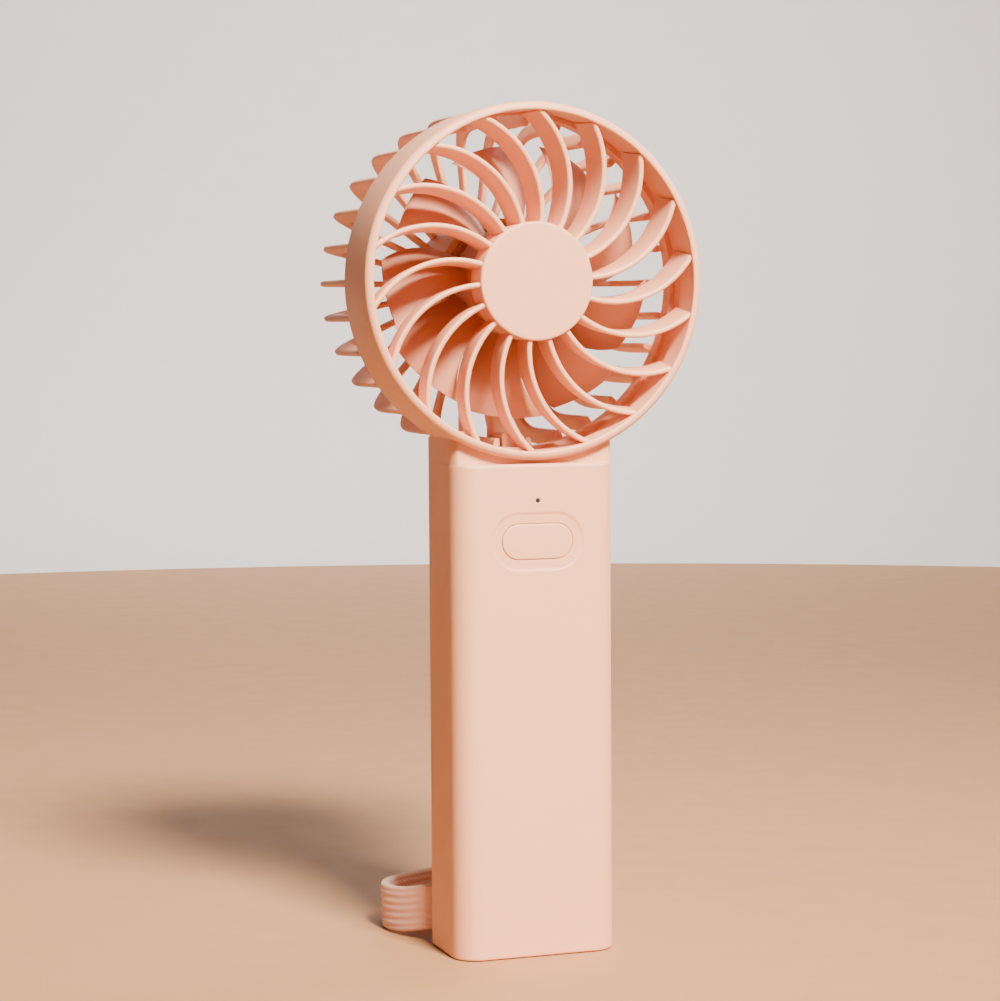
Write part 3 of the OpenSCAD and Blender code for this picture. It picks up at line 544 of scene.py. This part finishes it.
def shell(facing, columns, rows, windows):
    """Half of the handle as a wall 1.8 thick under a roof 2 thick. The outer skin has edges rounded
    at 0.5 below, 0.9 above the front, and 0.12 above the sides and rear, where the neck carries on.
    Each window is a patch of both skins taken out and refilled by rings: a ring lies at radius r
    from a core rectangle (half sizes a, b), and at a depth along the window's own direction."""
    low, high = np.radians(np.linspace(0, 90, 5)), np.radians(np.linspace(0, 90, 7))[1:]
    s = columns[:, None]
    ease = np.clip((FLAT + 6 - np.abs(s)) / 4, 0, 1) if facing < 0 else 0 * s
    bevel = 0.12 + 0.78 * ease ** 2 * (3 - 2 * ease)
    foot = np.concatenate([0.5 * (1 - np.sin(low)), 0 * rows[1:]])
    inset = np.hstack([np.tile(foot, (len(s), 1)), bevel * (1 - np.cos(high))])
    z = np.concatenate([0.5 * (1 - np.cos(low)), rows[1:], 0 * high + HANDLE_H])
    rise = np.hstack([np.tile(z[:-len(high)], (len(s), 1)), HANDLE_H - bevel * (1 - np.sin(high))])
    roof = np.linspace(0, 1, 7)[1:, None, None]
    outer = wall_at(s, rise, inset, facing)
    inner = wall_at(s, rise * (HANDLE_H - ROOF) / HANDLE_H, WALL, facing)
    lid = [(1 - roof) * skin[:, -1] + roof * opening_at(columns, skin[0, -1, 2], facing)
           for skin in (outer, inner)]
    outer = np.concatenate([outer, lid[0].transpose(1, 0, 2)], 1)
    inner = np.concatenate([inner, lid[1].transpose(1, 0, 2)], 1)
    n, k = outer.shape[:2]
    ids = np.arange(2 * n * k).reshape(2, n, k)
    points = [outer.reshape(-1, 3), inner.reshape(-1, 3)]
    keep = np.ones((n - 1, 2 * k), bool)
    extra = []
    for s0, s1, z0, z1, core, rings, way in windows:
        i0, i1 = (int(np.argmin(np.abs(columns - v))) for v in (s0, s1))
        k0, k1 = (int(np.argmin(np.abs(z - v))) for v in (z0, z1))
        keep[i0:i1, k0:k1] = False
        keep[i0:i1, 2 * k - 1 - k1:2 * k - 1 - k0] = False
        edge = np.array([(i, k0) for i in range(i0, i1)] + [(i1, j) for j in range(k0, k1)]
                        + [(i, k1) for i in range(i1, i0, -1)]
                        + [(i0, j) for j in range(k1, k0, -1)])
        at = np.stack([columns[edge[:, 0]] - (s0 + s1) / 2, z[edge[:, 1]] - (z0 + z1) / 2], -1)
        seat = np.clip(at, -np.array(core), core)
        ray = (at - seat) / np.linalg.norm(at - seat, axis=1)[:, None]
        table = [ids[0][edge[:, 0], edge[:, 1]]]
        for r, depth in rings:
            spot = seat + r * ray
            made = wall_at((s0 + s1) / 2 + spot[:, 0], (z0 + z1) / 2 + spot[:, 1], 0, facing)
            table.append(np.arange(len(edge)) + sum(map(len, points)))
            points.append(made + depth * np.array(way))
        table.append(ids[1][edge[:, 0], edge[:, 1]])
        extra.append(quads_of(np.array(table).T, wrap_a=True))
    ring = np.hstack([ids[0], ids[1][:, ::-1]])
    skins = quads_of(ring, wrap_b=True).reshape(n - 1, 2 * k, 4)[keep]
    a, b = ids[0][0], ids[1][0]
    c, d = ids[0][-1], ids[1][-1]
    ends = [np.stack([a[:-1], a[1:], b[1:], b[:-1]], -1),
            np.stack([d[:-1], d[1:], c[1:], c[:-1]], -1)]
    return outward(np.vstack(points), np.vstack([skins, *extra, *ends]), np.zeros((0, 3), int))


def hole(r, through=WALL):
    """Rings of a plain hole of core radius r with its rim broken by 0.15."""
    return [(r + 0.4, 0), (r + 0.15, 0.0), (r + 0.05, 0.04), (r, 0.15), (r, through)]


IN_FRONT, IN_REAR, IN_CORNER = (0, 1, 0), (0, -1, 0), (0.763, -0.646, 0)
dish = [(7.9, 0), (7.55, 0.01), (7.35, 0.06), (7.15, 0.18), (6.9, 0.27), (6.6, 0.3), (4.95, 0.3),
        (4.75, 0.32), (4.65, 0.4), (4.6, 0.6), (4.6, WALL)]
front_shell = shell(
    -1, steps([-SPAN, -FLAT - ROUND, -FLAT, -14.2, -1.2, 1.2, 14.2, FLAT, FLAT + ROUND, SPAN], 0.6),
    steps([0.5, 30, 60, 90, BUTTON_Z - 9.1, BUTTON_Z + 9.1, LED_Z - 1.2, LED_Z + 1.2, 125.1], 0.65),
    [(-14.2, 14.2, BUTTON_Z - 9.1, BUTTON_Z + 9.1, (5, 0), dish, IN_FRONT),
     (-1.2, 1.2, LED_Z - 1.2, LED_Z + 1.2, (0, 0),
      [(0.75, 0), (0.65, 0.03), (0.6, 0.12), (0.6, WALL)], IN_FRONT)])
make("handle_front", [front_shell], "body", ["handle_front_shell"],
     FINISH["peach_abs"])

screw_windows = [(x - 3, x + 3, z - 2.8, z + 2.8, (0, 0), hole(2.05), IN_REAR)
                 for x, z in CASE_SCREWS]
rear_shell = shell(
    1, steps([-SPAN, -FLAT - ROUND, -22.2, -19, -16.8, -16.2, -13, -11.8, -6, 6, 13, 19,
              FLAT + ROUND, SPAN], 0.6),
    steps([0.5, 1.4, 16.6, 17.2, 22.8, 50, SOCKET_Z - 4, SOCKET_Z + 4, 114.2, 119.8, 125.1], 0.7),
    screw_windows + [
        (-6, 6, SOCKET_Z - 4, SOCKET_Z + 4, (2.84, 0), hole(1.83), IN_REAR),
        (-22.2, -16.8, 1.4, 16.6, (1.1, 6.0), hole(0.6), IN_CORNER),
        (-16.2, -11.8, 1.4, 16.6, (1.1, 6.0), hole(0.6), IN_REAR)])
make("handle_rear", [rear_shell], "body", ["handle_rear_shell"], FINISH["peach_abs"])


def button():
    """Rings at distance r from a segment 10 long: the button's face, its rim rounded at 0.4, its
    side and the hidden flange behind."""
    a = np.radians(np.arange(96) * 3.75 + 1.875)
    seat = np.where(np.cos(a) > 0, 5.0, -5.0)
    rim = arc(4.1, 0.4, 0.4, 270, 360, 6)
    rows = np.vstack([[[0.2, -0.06], [1.5, -0.055], [3.0, -0.03], [3.8, -0.005]], rim,
                      [[4.5, 1.7], [5.5, 1.75], [5.5, 2.7], [2.2, 2.7], [2.0, 3.4], [0.3, 3.4]]])
    front = HANDLE_FRONT + 0.1
    seat = np.where(rows[:, :1] < 2.4, seat * np.where(rows[:, :1] > 1.9, 0, 1), seat)
    y = np.broadcast_to(front + rows[:, 1:], seat.shape)
    return loft(np.stack([seat + rows[:, :1] * np.cos(a), y,
                          BUTTON_Z + rows[:, :1] * np.sin(a)], -1))


make("button", [button()], "button", ["button_cap"], FINISH["peach_abs"])


def case_screw(x, z):
    """Rings down one screw: a hexagon socket whose radius is 0.95 cos(30) / cos(a mod 60 - 30)
    degrees, the head's face with its rim rounded at 0.25, and the shank."""
    a = np.radians(np.arange(72) * 5.0)
    hexagon = 0.95 * math.cos(math.pi / 6) / np.cos(a % (math.pi / 3) - math.pi / 6)
    one = np.ones(72)
    head_front, shank_end = HANDLE_REAR - 0.8, HANDLE_Y - 6
    rows = ([(0.5 * hexagon, 0.7), (hexagon, 0.7), (hexagon, 0.06), (1.08 * hexagon, 0.0),
             (1.6 * one, 0.0)]
            + [(r * one, d) for r, d in arc(1.65, 0.25, 0.25, 270, 360, 4)]
            + [(1.9 * one, 1.0), (0.9 * one, 1.02), (0.9 * one, head_front - shank_end)])
    return loft(np.array([np.c_[x + r * np.cos(a), head_front - d * one, z + r * np.sin(a)]
                          for r, d in rows]))


make("case_screw_set", [case_screw(x, z) for x, z in CASE_SCREWS], "body", ["case_screws"],
     FINISH["bright_steel"])


# ---- Carried-over CAD nodes ----

for part in frame["record"]["subparts"]:
    mesh = NODES[part["node"]].data
    mesh.materials.clear()
    mesh.materials.append(FINISH[part["material_slot"]])


# ---- Stage ----

def stage_piece(name, profile, finish):
    """A profile of (radius, height) in metres carried round the upright axis."""
    a = np.linspace(0, 2 * np.pi, 160, endpoint=False)[:, None]
    grid = np.stack([profile[:, 0] * np.cos(a), profile[:, 0] * np.sin(a),
                     np.broadcast_to(profile[:, 1] - FLOOR_GAP, (160, len(profile)))], -1)
    ids = np.arange(grid.shape[0] * grid.shape[1]).reshape(grid.shape[:2])
    mesh = bpy.data.meshes.new(name)
    mesh.from_pydata(grid.reshape(-1, 3).tolist(), [], quads_of(ids, wrap_a=True).tolist())
    mesh.shade_smooth()
    mesh.materials.append(finish)
    obj = bpy.data.objects.new(name, mesh)
    bpy.context.scene.collection.objects.link(obj)


def studio():
    """A round floor 1.1 m in radius inside a pale wall that starts as a quarter circle of 0.5 m."""
    stage_piece("floor", np.array([[0.001, 0], [0.3, 0], [0.6, 0], [0.9, 0], [1.1, 0]]),
                finish_of("matte paper floor", "#b4855a", "#b08156", 0.6, 1.5, 0.02))
    stage_piece("wall", np.vstack([arc(1.1, 0.5, 0.5, 270, 360, 24), [[1.6, 0.8], [1.6, 1.1]]]),
                finish_of("matte paper wall", "#e9e4e0", "#e5dfda", 0.7, 1.5, 0.02))


def lamp(name, spot, target, size, watts, colour, spread):
    """A square soft light at a spot, turned to face a target, both in metres, that opens by spread
    degrees."""
    data = bpy.data.lights.new(name, "AREA")
    data.size, data.energy, data.color = size, watts, linear(colour)[:3]
    data.spread = math.radians(spread)
    light = bpy.data.objects.new(name, data)
    light.location = spot
    light.rotation_euler = (Vector(target) - Vector(spot)).to_track_quat("-Z", "Y").to_euler()
    bpy.context.scene.collection.objects.link(light)


studio()
lamp("key", (0.14, -1.10, 1.16), (0, 0, 0.12), 0.36, 9.6, "#fff3e6", 50)
lamp("side", (1.20, 0.45, 0.80), (0, 0, 0.12), 0.6, 1.6, "#fff8f2", 60)
lamp("far wash", (0.25, 0.85, 1.25), (0.50, 1.50, 0.30), 0.8, 13, "#fffaf6", 110)
lamp("near wash", (0.50, -0.95, 1.25), (0.90, -1.40, 0.30), 0.8, 3.2, "#fffaf6", 110)
world = bpy.data.worlds.new("room")
world.use_nodes = True
world.node_tree.nodes["Background"].inputs["Color"].default_value = linear("#f0cfa8")
world.node_tree.nodes["Background"].inputs["Strength"].default_value = 0.02
bpy.context.scene.world = world
